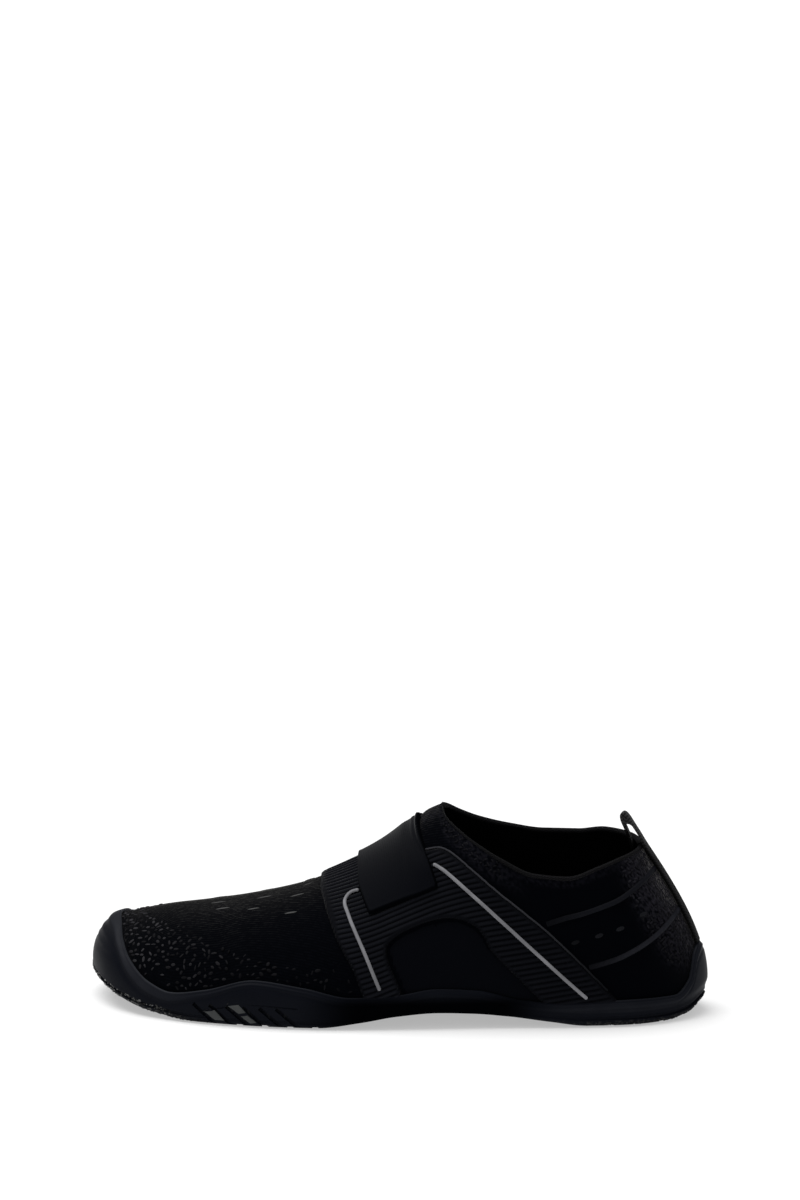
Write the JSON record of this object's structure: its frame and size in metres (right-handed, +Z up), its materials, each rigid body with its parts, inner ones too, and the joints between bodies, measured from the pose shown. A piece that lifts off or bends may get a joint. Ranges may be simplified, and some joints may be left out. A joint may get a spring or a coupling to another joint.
{
  "type": "slip-on water shoe",
  "caption": "Left slip-on water shoe: knitted upper in a moulded rubber cup sole, with a ribbed midfoot saddle, elastic strap, reflective piping, welded heel stripes and a heel pull loop.",
  "frame": {"origin": "on the floor, under the middle of the shoe's box", "axes": "+X points to the heel and -X to the toe, +Y to the inner (medial) side and -Y to the outer (lateral) side, +Z up"},
  "size_m": [0.274, 0.0974, 0.0905],
  "materials": {
    "rubber": "satin moulded rubber",
    "insole_foam": "matt fabric-faced foam",
    "knit": "matt fine knit with light flecks",
    "ribbed_knit": "ribbed stretch fabric",
    "elastic": "smooth elastic band",
    "weld": "matt welded film",
    "reflective_piping": "light grey reflective piping",
    "webbing": "woven tape"
  },
  "bodies": {
    "root": {"outsole": "rubber", "insole": "insole_foam", "upper": "knit", "saddle": "ribbed_knit", "strap": "elastic", "heel_stripe_upper": "weld", "heel_stripe_lower": "weld", "piping_front_lateral": "reflective_piping", "piping_rear_lateral": "reflective_piping", "piping_front_medial": "reflective_piping", "piping_rear_medial": "reflective_piping", "heel_tape": "webbing"}
  },
  "joints": []
}
